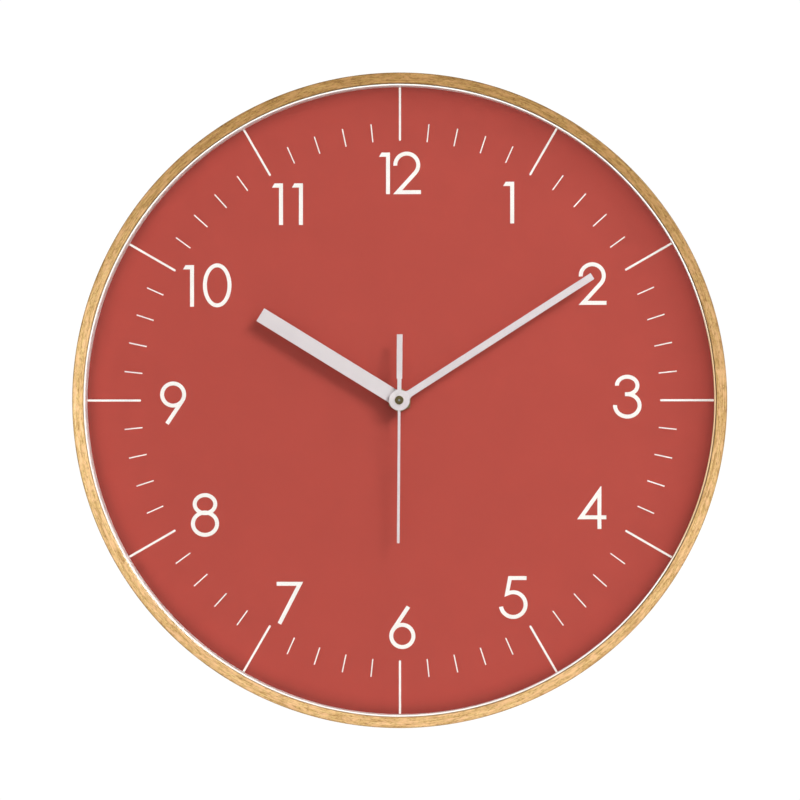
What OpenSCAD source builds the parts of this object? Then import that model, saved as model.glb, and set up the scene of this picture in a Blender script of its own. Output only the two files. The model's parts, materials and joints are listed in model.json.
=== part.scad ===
// Round wall clock with a bent-wood rim, a printed dial and a battery quartz movement.
// Local axes of every shape: x to the right and y up on the dial, z forwards from the wall.
// placed() stands the clock upright: the wall is the plane Y = 0 and the dial faces -Y.

/* [Frame] */
// Outer diameter of the wooden frame
frame_d = 305; // [300:1:320]
// Thickness of the bent-wood band
frame_t = 5; // [4:0.5:6]
// Depth of the frame from the wall to its front edge
frame_depth = 40; // [39.5:0.5:44]
// Radius that eases the edges of the wood
edge_r = 0.6; // [0.3:0.1:1]
// Number of steel clips that hold the dial board in the frame
clip_count = 6; // [3:1:8]

/* [Dial] */
// Height of the dial face above the wall
dial_z = 26; // [25:0.5:26.5]
// Thickness of the dial board
board_t = 3; // [2.5:0.5:3]
// Inner radius of the minute and hour marks
mark_r = 121.5; // [115:0.5:125]
// Length of a minute mark
minute_mark_len = 8.4; // [5:0.1:12]
// Width of a minute mark
minute_mark_w = 0.55; // [0.4:0.05:1.2]
// Width of an hour mark
hour_mark_w = 1; // [0.8:0.1:2]
// Radius of the circle that the numerals stand on
numeral_r = 106.1; // [100:0.1:108]
// Width of a numeral's strokes
stroke_w = 1.85; // [1.6:0.05:2.2]
// Thickness of the glass
glass_t = 2; // [1.5:0.5:2]

/* [Hands] */
// Length of the hour hand from its axis
hour_len = 76.4; // [60:0.1:80]
// Width of the hour hand
hour_w = 7; // [5:0.5:8]
// Length of the minute hand from its axis
minute_len = 107; // [95:0.1:112]
// Width of the minute hand
minute_w = 3.3; // [2.5:0.1:4]
// Length of the second hand from its axis
second_len = 66.7; // [60:0.1:110]
// Length of the second hand's tail
second_tail = 30.7; // [20:0.1:40]
// Sheet thickness of the hands
hand_t = 0.5; // [0.4:0.1:0.6]
// Angle of the hour hand, clockwise from twelve
hour_angle = 301.6; // [0:0.1:360]
// Angle of the minute hand, clockwise from twelve
minute_angle = 57.3; // [0:0.1:360]
// Angle of the second hand, clockwise from twelve
second_angle = 180.4; // [0:0.1:360]

/* [Movement] */
// Width and height of the movement case
case_w = 56; // [56:0.5:58]
// Depth of the movement case
case_depth = 16; // [16:0.25:16.5]
// Diameter of the time-setting knob
knob_d = 13; // [10:0.5:15]
// Width of a gear tooth as a share of the tooth pitch
tooth_share = 0.38; // [0.34:0.01:0.42]

/* [Hanger] */
// Radius of the keyhole that goes over the screw head
key_r = 4.2; // [4:0.1:5]
// Width of the keyhole's slot for the screw shank
key_slot_w = 4.4; // [4:0.1:5]
// Height of the keyhole's round end above the hands' axis
key_y = 38; // [37:0.5:40]
// Thickness of the hanger's steel
steel_t = 1.2; // [1:0.1:1.4]

/* [Hidden] */
$fn = 96;

// Clearances: a loose fit, a press fit and the gap round a disc that lies in the frame
fit = 0.05;
press = 0.02;
disc_gap = 0.1;

// Frame, front to back
frame_r = frame_d / 2;
frame_in = frame_r - frame_t;
ring_t = 0.6;
ring_gap = 0.3;
ring_out = frame_in - ring_gap;
ring_in = ring_out - ring_t;
disc_r = ring_out - disc_gap;
front_ring_z = frame_depth - 0.6;
glass_z = dial_z + 10;
face_t = 0.3;
print_t = 0.1;
board_z = dial_z - face_t - board_t;
gasket_t = 0.8;
case_z = board_z - gasket_t - steel_t;
rear_z = case_z - case_depth;
wall_t = 1;
side_wall_t = 1.2;
cover_z = rear_z + wall_t;

// Centre stack radii: second arbor, minute pipe, hour pipe and threaded bush
arbor_r = 0.5;
pipe_r = 1.25;
hour_pipe_r = 2;
bush_r = 3.9;
nut_af = 10;
nut_t = 2;
nut_angle = 25;
hub_r = 4.85;
pivot_r = 0.35;
post_r = 1.2;
hour_hand_z = dial_z + 5.4;
minute_hand_z = dial_z + 6.5;
second_hand_z = dial_z + 7.6;

// Gear train: teeth and centre distances
hour_teeth = 48;
minute_wheel_teeth = 36;
cannon_teeth = 12;
setting_pinion_teeth = 12;
centre_teeth = 75;
third_pinion_teeth = 10;
third_teeth = 80;
second_pinion_teeth = 10;
second_teeth = 60;
fifth_pinion_teeth = 15;
fifth_teeth = 75;
rotor_teeth = 10;
setting_c = 10.5;
third_c = 10.5;
fifth_c = 7.5;
rotor_c = 6.8;
gear_t = 0.8;
third_dir = 75;
fifth_dir = 140;
rotor_dir = 170;
setting_at = [setting_c, 0];
third_at = polar(third_c, third_dir);
fifth_at = polar(fifth_c, fifth_dir);
rotor_at = fifth_at + polar(rotor_c, rotor_dir);

// Front face of each wheel and pinion
hour_wheel_z = case_z - 2.3;
minute_wheel_z = case_z - 4.1;
centre_wheel_z = case_z - 6.3;
third_wheel_z = case_z - 8.7;
bridge_z = case_z - 9.9;
stator_z = case_z - 10;
second_wheel_z = case_z - 11;
fifth_wheel_z = case_z - 12.9;
bridge_t = 0.7;

// Battery and its bay
cell_r = 6.95;
sleeve_t = 0.2;
cell_len = 49;
cell_x = -24.3;
bay_h = 15;
bay_y = -case_w / 2 + wall_t + 0.2;
bay_wall_y = bay_y + bay_h;
battery_y = bay_y + 0.25 + cell_r + sleeve_t;
battery_z = case_z - wall_t - 0.3 - cell_r - sleeve_t;

// Coil, above and to the left of the rotor, and the iron core that runs through it
coil_y = 22;
coil_x = [-21.5, -11.7];
coil_r = 4;
core_h = 3;
core_w = 3.2;
core_x = [-25, -11.4];

// Circuit board, its lower left corner and the strips that bring the current to it
pcb_at = [12.5, 12];
pcb_size = [13, 14, 1];
pcb_z = rear_z + 3.3;
strip_t = 0.3;
strip_h = 2;
strip_z = pcb_z + 1;
contact_x = case_w / 2 - 1.25;
leaf_y = [bay_y + 2, bay_wall_y - 0.8];

// Posts and bosses inside the movement
bridge_posts = [[-6.5, -8.6], [7.3, -8.6], [7.6, 10.6]];
stator_posts = [[-23.4, 8], [-9.8, 15.5]];
pcb_posts = [[14, 24.5], [24, 13.8]];
boss_h = 0.7;

// ---------- helpers ----------

function polar(r, a) = [r * cos(a), r * sin(a)];
// pitch radius of n teeth that mesh with n2 teeth at centre distance c
function pitch_r(n, n2, c) = c * n / (n + n2);
// phase of the second gear of a meshing pair, in the direction dir from the first gear
function mesh(n, phase, n2, dir) = dir + 180 + (180 - n * (phase - dir)) / n2;
// angle between an involute's foot and its point at radius r
function involute(base, r) = r <= base ? 0 : let(a = acos(base / r)) tan(a) * 180 / PI - a;

module placed() {
    rotate([90, 0, 0]) children();
}

module slab(z, t) {
    translate([0, 0, z]) linear_extrude(t) children();
}

addendum = 0.75;
dedendum = 0.95;
pressure_angle = 20;

// one tooth outline, from its right foot over the tip to its left foot
function tooth(r, n, a) =
    let(
        m = 2 * r / n,
        base = r * cos(pressure_angle),
        foot = r - dedendum * m,
        tip = r + addendum * m,
        half = 180 * tooth_share / n + involute(base, r),
        radii = n < 20 ? [foot, base, r, (r + tip) / 2, tip] : [foot, r, tip],
        right = [for (q = radii) polar(q, a - half + involute(base, max(q, base)))],
        left = [for (i = [len(radii) - 1:-1:0])
            polar(radii[i], a + half - involute(base, max(radii[i], base)))]
    )
    concat(right, left);

module gear_outline(r, n, phase) {
    polygon([for (i = [0:n - 1]) each tooth(r, n, phase + i * 360 / n)]);
}

module disc(r, z, t) {
    translate([0, 0, z]) cylinder(r = r, h = t);
}

module tube(r, bore, z, t) {
    translate([0, 0, z]) linear_extrude(t) difference() {
        circle(r);
        circle(bore);
    }
}

module ring(r_in, r_out, z, t) {
    slab(z, t) difference() {
        circle(r_out, $fn = 180);
        circle(r_in, $fn = 180);
    }
}

// a rectangle with round corners
module plate(w, h, r) {
    square([w - 2 * r, h], center = true);
    square([w, h - 2 * r], center = true);
    for (x = [-1, 1], y = [-1, 1]) translate([x * (w / 2 - r), y * (h / 2 - r)]) circle(r, $fn = 48);
}

// ---------- frame ----------

clip_first = 30;
clip_t = 1;
clip_w = 12;
clip_leg = 11;
clip_foot = 10;
clip_r = frame_in - disc_gap;
screw_z = board_z - 6;
screw_r = 1.25;
screw_end = frame_r - 1.5;
screw_head = [2.5, 1.5];

module clip_places() {
    for (i = [0:clip_count - 1]) rotate([0, 0, clip_first + i * 360 / clip_count]) children();
}

// along a clip screw, outwards from the radius r
module along_screw(r) {
    translate([r, 0, screw_z]) rotate([0, 90, 0]) children();
}

module wood_frame() {
    color("burlywood") placed() difference() {
        rotate_extrude($fn = 180) {
            translate([frame_in, edge_r]) square([frame_t, frame_depth - 2 * edge_r]);
            translate([frame_in + edge_r, 0]) square([frame_t - 2 * edge_r, frame_depth]);
            for (x = [frame_in + edge_r, frame_r - edge_r], y = [edge_r, frame_depth - edge_r])
                translate([x, y]) circle(edge_r, $fn = 24);
        }
        clip_places() along_screw(frame_in - 2)
            cylinder(r = screw_r + fit, h = screw_end + disc_gap - frame_in + 2, $fn = 32);
    }
}

module front_ring() {
    color("ivory") placed() ring(ring_in, ring_out, glass_z + glass_t, front_ring_z - glass_z - glass_t);
}

module spacer_ring() {
    color("ivory") placed() ring(ring_in, ring_out, dial_z, glass_z - dial_z);
}

module glass_lens() {
    color([0.8, 0.9, 0.9, 0.25]) placed() disc(disc_r, glass_z, glass_t, $fn = 180);
}

module board_clips() {
    color("silver") placed() clip_places() {
        difference() {
            translate([clip_r - clip_t, -clip_w / 2, board_z - clip_leg]) cube([clip_t, clip_w, clip_leg]);
            along_screw(clip_r - clip_t - 1) cylinder(r = screw_r + fit, h = clip_t + 2, $fn = 32);
        }
        translate([clip_r - clip_foot, -clip_w / 2, board_z - clip_t])
            cube([clip_foot - clip_t, clip_w, clip_t]);
    }
}

module clip_screws() {
    cross = [3, 0.6, 0.8];
    color("gold") placed() clip_places() along_screw(clip_r - clip_t) {
        translate([0, 0, -screw_head[1]]) difference() {
            cylinder(r = screw_head[0], h = screw_head[1], $fn = 48);
            for (a = [0, 90]) rotate([0, 0, a])
                translate([-cross.x / 2, -cross.y / 2, -1]) cube([cross.x, cross.y, cross.z + 1]);
        }
        cylinder(r = screw_r, h = screw_end - clip_r + clip_t, $fn = 32);
    }
}

// ---------- dial ----------

module dial_disc(z, t) {
    slab(z, t) difference() {
        circle(disc_r, $fn = 180);
        circle(bush_r + disc_gap);
    }
}

module dial_board() {
    color("tan") placed() dial_disc(board_z, board_t);
}

module dial_face() {
    color("indianred") placed() dial_disc(board_z + board_t, face_t);
}

module minute_marks() {
    color("white") placed() slab(dial_z, print_t)
        for (i = [0:59]) if (i % 5 != 0) rotate(-6 * i)
            translate([-minute_mark_w / 2, mark_r]) square([minute_mark_w, minute_mark_len]);
}

module hour_marks() {
    color("white") placed() slab(dial_z, print_t)
        for (i = [0:11]) rotate(-30 * i) {
            translate([0, mark_r + hour_mark_w / 2]) circle(hour_mark_w / 2, $fn = 24);
            translate([-hour_mark_w / 2, mark_r + hour_mark_w / 2])
                square([hour_mark_w, ring_in - disc_gap - mark_r - hour_mark_w / 2]);
        }
}

// Numerals, drawn as strokes of one width on a 20 mm body
numeral_h = 20;
bar_h = 19.5;
digit_w = [13.4, 5.15, 13.5, 13.1, 13.6, 12.75, 12.2, 12.4, 13.2, 12.2];
tens_gap = [4.2, 4.2, 1];
// small optical shifts of the twelve numerals from the numeral circle
nudge = [
    [-2.2, 0.8], [-2.1, 1.5], [0.2, 1.4], [-2.3, 3], [0.2, -0.2], [1.1, 0],
    [1.5, -3], [0.5, -0.7], [-0.3, -1.2], [1.5, 0.9], [0.3, 0.3], [0, 0.4]
];

function oval(c, r, a0, a1, n = 36) =
    [for (i = [0:n]) let(a = a0 + (a1 - a0) * i / n) c + [r.x * cos(a), r.y * sin(a)]];

// a stroke along part of an oval with outer half-axes r
module arc_stroke(c, r, a0, a1) {
    polygon(concat(oval(c, r, a0, a1), oval(c, r - [stroke_w, stroke_w], a1, a0)));
}

module oval_stroke(c, r) {
    difference() {
        polygon(oval(c, r, 0, 360 - 360 / 72, 71));
        polygon(oval(c, r - [stroke_w, stroke_w], 0, 360 - 360 / 72, 71));
    }
}

module digit_0() {
    oval_stroke([6.7, 10], [6.7, 10.3]);
}

module digit_1() {
    stem = [digit_w[1] - stroke_w, digit_w[1]];
    flag = bar_h - stroke_w - 0.15;
    polygon([[stem[0], 0], [stem[1], 0], [stem[1], bar_h], [1.2, bar_h], [0, flag], [stem[0], flag]]);
}

module digit_2() {
    c = [6.85, 13.6];
    r = 6.3;
    lean = 47.6;
    leave = c + polar(r, lean - 90);
    inner = c + polar(r - stroke_w, lean - 90);
    arc_stroke(c, [r, r], lean - 90, 183);
    polygon([
        leave, inner, [inner.x - inner.y / tan(lean), 0], [13.5, 0], [13.5, stroke_w],
        [leave.x - (leave.y - stroke_w) / tan(lean), stroke_w]
    ]);
}

module digit_3() {
    arc_stroke([6.4, 15.5], [5.7, 5], -90, 181);
    arc_stroke([6.45, 6.2], [6.65, 6.15], -182, 90);
    translate([5.35, 10.5]) square([1.2, stroke_w]);
}

module digit_4() {
    bar = [4.5, 4.5 + stroke_w];
    stem = [11.3 - stroke_w, 11.3];
    slope = [11, numeral_h - bar[0]];
    slant = stroke_w * norm(slope);
    difference() {
        polygon([
            [0, bar[0]], [slope.x, numeral_h], [stem[1], numeral_h], [stem[1], bar[1]], [digit_w[4], bar[1]],
            [digit_w[4], bar[0]], [stem[1], bar[0]], [stem[1], 0], [stem[0], 0], [stem[0], bar[0]]
        ]);
        polygon([
            [(slant + stroke_w * slope.x) / slope.y, bar[1]], [stem[0], bar[1]],
            [stem[0], bar[0] + (stem[0] * slope.y - slant) / slope.x]
        ]);
    }
}

module digit_5() {
    c = [6.05, 6.7];
    r = 6.7;
    bar = numeral_h - stroke_w;
    arc_stroke(c, [r, r], -170, 105);
    polygon([
        [3.8, numeral_h], [12.3, numeral_h], [12.3, bar], [3.45 + stroke_w, bar], c + polar(r, 105),
        c + polar(r - stroke_w, 105), c + polar(r - stroke_w, 118), [1.95, 10.3]
    ]);
}

module digit_6() {
    c = [6.1, 6];
    lean = 33.5;
    oval_stroke(c, [6.1, 6.1]);
    translate(c + polar(6.1, 180 - lean)) rotate(-lean) square([stroke_w, 13]);
}

module digit_7() {
    foot = [2.1, 0];
    slope = [digit_w[7] - foot.x, numeral_h];
    side = stroke_w / norm(slope) * [-slope.y, slope.x];
    bar = numeral_h - stroke_w;
    inner = foot.x + (slope.x * bar - stroke_w * norm(slope)) / slope.y;
    polygon([[0, bar], [inner, bar], foot + side, foot, foot + slope, [0, numeral_h]]);
}

module digit_8() {
    oval_stroke([6.6, 6.05], [6.6, 6.15]);
    oval_stroke([6.6, 15.2], [5.75, 5.15]);
}

module digit(n) {
    if (n == 0) digit_0();
    if (n == 1) digit_1();
    if (n == 2) digit_2();
    if (n == 3) digit_3();
    if (n == 4) digit_4();
    if (n == 5) digit_5();
    if (n == 6) digit_6();
    if (n == 7) digit_7();
    if (n == 8) digit_8();
    if (n == 9) translate([digit_w[6], numeral_h]) rotate(180) digit_6();
}

function lead(n) = n < 10 ? 0 : digit_w[1] + tens_gap[n % 10];

module number(n) {
    translate([-(lead(n) + digit_w[n % 10]) / 2, -numeral_h / 2]) {
        if (n >= 10) digit(1);
        translate([lead(n), 0]) digit(n % 10);
    }
}

module numerals() {
    color("white") placed() slab(dial_z, print_t)
        for (n = [1:12]) translate(polar(numeral_r, 90 - 30 * n) + nudge[n - 1]) number(n);
}

// ---------- hanger and centre fixing ----------

hanger_step_y = case_w / 2 + 1;
hanger_top = key_y + 13;
hanger_foot = -12;
hanger_w = 26;
hanger_z = 3;
hanger_corner = 5;
bend_r = 1.4;
key_rise = 7;

// the strip seen from its side, as (height above the axis, height above the wall), with two round bends
module hanger_profile() {
    low = hanger_z;
    high = case_z;
    in_y = hanger_step_y + steel_t;
    translate([hanger_foot, high]) square([in_y - bend_r - steel_t - hanger_foot, steel_t]);
    translate([in_y - steel_t, low + bend_r + steel_t]) square([steel_t, high - low - 2 * bend_r - steel_t]);
    translate([in_y + bend_r, low]) square([hanger_top - in_y - bend_r, steel_t]);
    translate([in_y - steel_t - bend_r, high - bend_r]) bend(0);
    translate([in_y + bend_r, low + steel_t + bend_r]) bend(180);
}

module bend(angle) {
    rotate(angle) intersection() {
        difference() {
            circle(bend_r + steel_t, $fn = 64);
            circle(bend_r, $fn = 64);
        }
        square(bend_r + steel_t);
    }
}

module hanger_outline() {
    translate([-hanger_w / 2, hanger_foot]) square([hanger_w, hanger_top - hanger_foot - hanger_corner]);
    translate([0, hanger_top - hanger_corner]) plate(hanger_w, 2 * hanger_corner, hanger_corner - 0.1);
}

module keyhole() {
    translate([0, key_y]) circle(key_r);
    translate([-key_slot_w / 2, key_y]) square([key_slot_w, key_rise]);
    translate([0, key_y + key_rise]) circle(key_slot_w / 2);
}

module hanger_bracket() {
    color("lightsteelblue") placed() difference() {
        intersection() {
            translate([hanger_w / 2 + 1, 0, 0]) rotate([90, 0, -90]) mirror([1, 0, 0])
                linear_extrude(hanger_w + 2) hanger_profile();
            linear_extrude(frame_depth) hanger_outline();
        }
        slab(case_z - 1, steel_t + 2) circle(bush_r + disc_gap);
        slab(hanger_z - 1, steel_t + 2) keyhole();
    }
}

module rubber_gasket() {
    color("dimgray") placed() tube(9, bush_r + disc_gap, case_z + steel_t, gasket_t);
}

bush_flange = [5, 0.8];

module centre_bush() {
    bore = hour_pipe_r + fit;
    seat = case_z - wall_t;
    color("goldenrod") placed() {
        tube(bush_r, bore, seat, dial_z + nut_t + 0.2 - seat);
        tube(bush_flange[0], bore, seat - bush_flange[1], bush_flange[1]);
    }
}

module centre_nut() {
    color("goldenrod") placed() slab(dial_z, nut_t) difference() {
        rotate(nut_angle) circle(nut_af / 2 / cos(30), $fn = 6);
        circle(bush_r + press);
    }
}

// ---------- movement, standing parts ----------

case_corner = 3;

module case_shell() {
    inner_w = case_w - 2 * side_wall_t;
    room = [bay_wall_y + side_wall_t, case_w / 2 - side_wall_t];
    slab(cover_z, case_z - cover_z) difference() {
        plate(case_w, case_w, case_corner);
        translate([0, (room[0] + room[1]) / 2]) plate(inner_w, room[1] - room[0], case_corner - side_wall_t);
        translate([-inner_w / 2, room[0]]) square([inner_w, case_corner]);
        translate([-inner_w / 2, bay_y]) square([inner_w, bay_h]);
    }
    slab(case_z - wall_t, wall_t) plate(case_w - 1, case_w - 1, case_corner - 0.5);
}

// a bearing boss that hangs from the case's front wall: its place, radius, pivot radius and lower end
module bearing_boss(at, r, z) {
    translate(at) disc(r, z, case_z - wall_t / 2 - z);
}

module bearing_hole(at, r, z) {
    translate(at) disc(r + fit, z, 1.3, $fn = 32);
}

// slots in the bay's wall for the two contact strips
module strip_slots() {
    slot = [2 * strip_t, 3.4, strip_h + 0.4];
    for (side = [-1, 1])
        translate([side * (contact_x - strip_t / 2), bay_wall_y + slot.y / 2 - 0.2, strip_z + strip_h / 2])
            cube(slot, center = true);
}

module movement_case() {
    rotor_boss_z = case_z - 8.8;
    third_boss_z = case_z - 5.8;
    setting_boss_z = case_z - 1.8;
    color("dimgray") placed() difference() {
        union() {
            case_shell();
            bearing_boss(rotor_at, post_r, rotor_boss_z);
            bearing_boss(third_at, post_r, third_boss_z);
            bearing_boss(setting_at, 1.6, setting_boss_z);
        }
        disc(bush_r + press, case_z - 2, 3);
        strip_slots();
        bearing_hole(rotor_at, pivot_r, rotor_boss_z - 0.2);
        bearing_hole(third_at, pivot_r, third_boss_z - 0.2);
        bearing_hole(setting_at, arbor_r, setting_boss_z - 0.2);
    }
}

module movement_cover() {
    pivots = [[0, 0], third_at, fifth_at, rotor_at];
    color("dimgray") placed() difference() {
        union() {
            slab(rear_z, wall_t) intersection() {
                plate(case_w, case_w, case_corner);
                translate([-case_w / 2, bay_wall_y]) square([case_w, case_w]);
            }
            for (at = pivots) translate(at) disc(at == [0, 0] ? 1.5 : post_r, cover_z, boss_h);
            for (at = bridge_posts) translate(at) tube(2, post_r + fit, cover_z, boss_h + 0.1);
            for (at = stator_posts) translate(at) disc(post_r, cover_z, stator_z - gear_t - cover_z);
            for (at = pcb_posts) translate(at) disc(post_r, cover_z, pcb_z - cover_z);
        }
        for (at = pivots) translate(at) disc(pivot_r + fit, cover_z - 0.3, boss_h + 1, $fn = 32);
        translate(setting_at) disc(1.3, rear_z - 1, wall_t + 2);
    }
}

module gear_bridge() {
    low = [-7.9, -10];
    high = [8.9, 12.2];
    color("whitesmoke") placed() {
        slab(bridge_z - bridge_t, bridge_t) difference() {
            translate(low) square(high - low);
            circle(arbor_r + fit, $fn = 32);
            translate(third_at) circle(arbor_r + fit, $fn = 32);
            translate(fifth_at) circle(pivot_r + fit, $fn = 32);
        }
        for (at = bridge_posts) translate(at) disc(post_r, cover_z, bridge_z - bridge_t - cover_z);
    }
}

module stator() {
    core_top = coil_y + 2;
    left_foot = 3;
    right_foot = 6;
    color("slategray") placed() slab(stator_z - gear_t, gear_t) difference() {
        union() {
            translate(rotor_at) circle(4.2);
            translate([core_x[0], left_foot]) square([core_w, core_top - left_foot]);
            translate([core_x[1], right_foot]) square([core_w, core_top - right_foot]);
            translate([core_x[0], left_foot]) square([12, 4]);
            translate([core_x[0], coil_y - core_h / 2]) square([core_x[1] + core_w - core_x[0], core_h]);
        }
        translate(rotor_at) circle(3);
    }
}

module along_coil(x) {
    translate([x, coil_y, stator_z - gear_t / 2]) rotate([0, 90, 0]) children();
}

coil_len = coil_x[1] - coil_x[0];
flange_t = 0.8;
reel_r = 2.2;

module coil_bobbin() {
    hole = [coil_len + 2, core_h + 2 * fit, gear_t + 2 * fit];
    color("darkgreen") placed() difference() {
        union() {
            for (x = [coil_x[0], coil_x[1] - flange_t]) along_coil(x) cylinder(r = coil_r, h = flange_t);
            along_coil(coil_x[0]) cylinder(r = reel_r, h = coil_len);
        }
        translate([coil_x[0] - 1, coil_y - hole.y / 2, stator_z - gear_t - fit]) cube(hole);
    }
}

module coil_winding() {
    color("peru") placed() along_coil(coil_x[0] + flange_t + fit) difference() {
        cylinder(r = coil_r - 0.5, h = coil_len - 2 * (flange_t + fit));
        translate([0, 0, -1]) cylinder(r = reel_r + fit, h = coil_len);
    }
}

module circuit_board() {
    color("seagreen") placed() translate([pcb_at.x, pcb_at.y, pcb_z]) cube(pcb_size);
}

// a drop of black resin over the bare chip
module chip_blob() {
    dome_r = 4;
    height = 1;
    color("black") placed() translate([pcb_at.x + 5, pcb_at.y + 8, pcb_z - height])
        intersection() {
            translate([0, 0, dome_r - 0.2]) sphere(r = dome_r);
            cylinder(r = 2.6, h = height);
        }
}

module quartz_crystal() {
    can_r = 1;
    color("silver") placed() translate([pcb_at.x + 2.5, pcb_at.y + 2.5, pcb_z - can_r]) rotate([0, 90, 0])
        cylinder(r = can_r, h = 6);
}

// a flat spring at the cell's nub, with a strip up to the circuit board
module positive_contact() {
    color("gold") placed() {
        translate([contact_x - strip_t, leaf_y[0], battery_z - 3]) cube([strip_t, leaf_y[1] - leaf_y[0], 6]);
        translate([contact_x - strip_t, leaf_y[1] - 1, strip_z])
            cube([strip_t, pcb_at.y + 5 - leaf_y[1], strip_h]);
        translate([contact_x - 2.2, pcb_at.y + 1, strip_z]) cube([2.2, 3, strip_t]);
    }
}

// a sprung leaf against the cell's flat end, and a strip along the bay wall to the circuit board
module negative_contact() {
    bow = 2.1;
    run_y = bay_wall_y + side_wall_t + 0.1;
    color("gold") placed() {
        translate([-contact_x, 0, battery_z - 3]) linear_extrude(6) polygon([
            [0, leaf_y[0]], [strip_t, leaf_y[0]], [bow, battery_y], [strip_t, leaf_y[1]],
            [0, leaf_y[1]], [bow - strip_t, battery_y]
        ]);
        translate([-contact_x, leaf_y[1] - 0.4, strip_z]) cube([strip_t, run_y + 0.7 - leaf_y[1], strip_h]);
        translate([-contact_x, run_y, strip_z]) cube([contact_x + pcb_at.x + 3.25, strip_t, strip_h]);
        translate([pcb_at.x + 3, run_y, strip_z]) cube([strip_t, pcb_at.y + 3.3 - run_y, strip_h]);
    }
}

nub_r = 2.75;
nub_h = 1.4;
sleeve_inset = 0.4;

module battery_cell() {
    color("silver") placed() translate([cell_x, battery_y, battery_z]) rotate([0, 90, 0]) {
        cylinder(r = cell_r, h = cell_len);
        cylinder(r = nub_r, h = cell_len + nub_h);
    }
}

module battery_sleeve() {
    color("darkslategray") placed() translate([cell_x + sleeve_inset, battery_y, battery_z])
        rotate([0, 90, 0]) difference() {
            cylinder(r = cell_r + sleeve_t, h = cell_len - 2 * sleeve_inset);
            translate([0, 0, -1]) cylinder(r = cell_r + press, h = cell_len + 2);
        }
}

// ---------- movement, turning parts ----------

hour_gear_r = pitch_r(hour_teeth, setting_pinion_teeth, setting_c);
setting_pinion_r = setting_c - hour_gear_r;
cannon_r = pitch_r(cannon_teeth, minute_wheel_teeth, setting_c);
minute_wheel_r = setting_c - cannon_r;
centre_wheel_r = pitch_r(centre_teeth, third_pinion_teeth, third_c);
third_pinion_r = third_c - centre_wheel_r;
third_wheel_r = pitch_r(third_teeth, second_pinion_teeth, third_c);
second_pinion_r = third_c - third_wheel_r;
second_wheel_r = pitch_r(second_teeth, fifth_pinion_teeth, fifth_c);
fifth_pinion_r = fifth_c - second_wheel_r;
fifth_wheel_r = pitch_r(fifth_teeth, rotor_teeth, rotor_c);
rotor_pinion_r = rotor_c - fifth_wheel_r;

module gear(r, n, phase, front, t = gear_t) {
    slab(front - t, t) gear_outline(r, n, phase);
}

// a shaft from z0 to z1 on the current axis
module shaft(r, z0, z1) {
    translate([0, 0, z0]) cylinder(r = r, h = z1 - z0, $fn = 32);
}

// a bore right through on the clock's axis
module centre_bore(r) {
    disc(r, 0, frame_depth, $fn = 48);
}

module hour_wheel() {
    phase = mesh(setting_pinion_teeth, 0, hour_teeth, 180);
    back = hour_wheel_z - gear_t;
    color("ivory") placed() difference() {
        union() {
            gear(hour_gear_r, hour_teeth, phase, hour_wheel_z);
            disc(hour_pipe_r, back, hour_hand_z + hand_t + 0.1 - back);
        }
        centre_bore(pipe_r + fit);
    }
}

module minute_pipe() {
    back = centre_wheel_z - gear_t - 0.2;
    color("ivory") placed() difference() {
        union() {
            gear(cannon_r, cannon_teeth, 0, minute_wheel_z + 0.4, 2 * gear_t);
            disc(pipe_r, back, minute_hand_z + hand_t + 0.2 - back);
        }
        centre_bore(arbor_r + fit);
    }
}

module centre_wheel() {
    color("ivory") placed() difference() {
        gear(centre_wheel_r, centre_teeth, 0, centre_wheel_z);
        centre_bore(pipe_r + press);
    }
}

// the spring star that lets the hands slip on the train while the time is set
module clutch_spring() {
    arm = [4.5, 0.8];
    color("silver") placed() slab(centre_wheel_z + press, 0.2) difference() {
        union() {
            circle(2.2);
            for (a = [0, 120, 240]) rotate(a) translate([0, -arm.y / 2]) square(arm);
        }
        circle(pipe_r + press);
    }
}

stem_r = 0.75;

module minute_wheel() {
    phase = mesh(cannon_teeth, 0, minute_wheel_teeth, 0);
    pinion_t = 2.1;
    color("ivory") placed() translate(setting_at) {
        gear(minute_wheel_r, minute_wheel_teeth, phase, minute_wheel_z);
        gear(setting_pinion_r, setting_pinion_teeth, 0, minute_wheel_z + pinion_t, pinion_t);
        shaft(arbor_r, minute_wheel_z + 2, minute_wheel_z + 2.9);
        shaft(stem_r, rear_z - 0.3, minute_wheel_z - 0.3);
    }
}

module setting_knob() {
    front = rear_z - 0.3;
    knob_t = 2.4;
    rib = [0.8, 0.5];
    color("dimgray") placed() translate(setting_at) difference() {
        union() {
            slab(front - knob_t, knob_t) {
                circle(knob_d / 2 - 0.3);
                for (a = [0:10:350]) rotate(a) translate([knob_d / 2 - rib.x, -rib.y / 2]) square(rib);
            }
            disc(1.2, front - 0.1, 2.2);
        }
        disc(stem_r + press, front - 0.1, knob_t + 1);
    }
}

module second_arbor() {
    color("silver") placed() {
        shaft(arbor_r, cover_z + boss_h + 0.1, second_hand_z + 1.1);
        shaft(pivot_r, cover_z, cover_z + boss_h + 0.2);
    }
}

module second_wheel() {
    color("ivory") placed() difference() {
        union() {
            gear(second_wheel_r, second_teeth, 0, second_wheel_z);
            disc(post_r, second_wheel_z - 2 * gear_t, gear_t + 0.1);
        }
        centre_bore(arbor_r + press);
    }
}

module second_pinion() {
    color("ivory") placed() difference() {
        gear(second_pinion_r, second_pinion_teeth, 0, third_wheel_z + 0.3, 1.4);
        centre_bore(arbor_r + press);
    }
}

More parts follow.
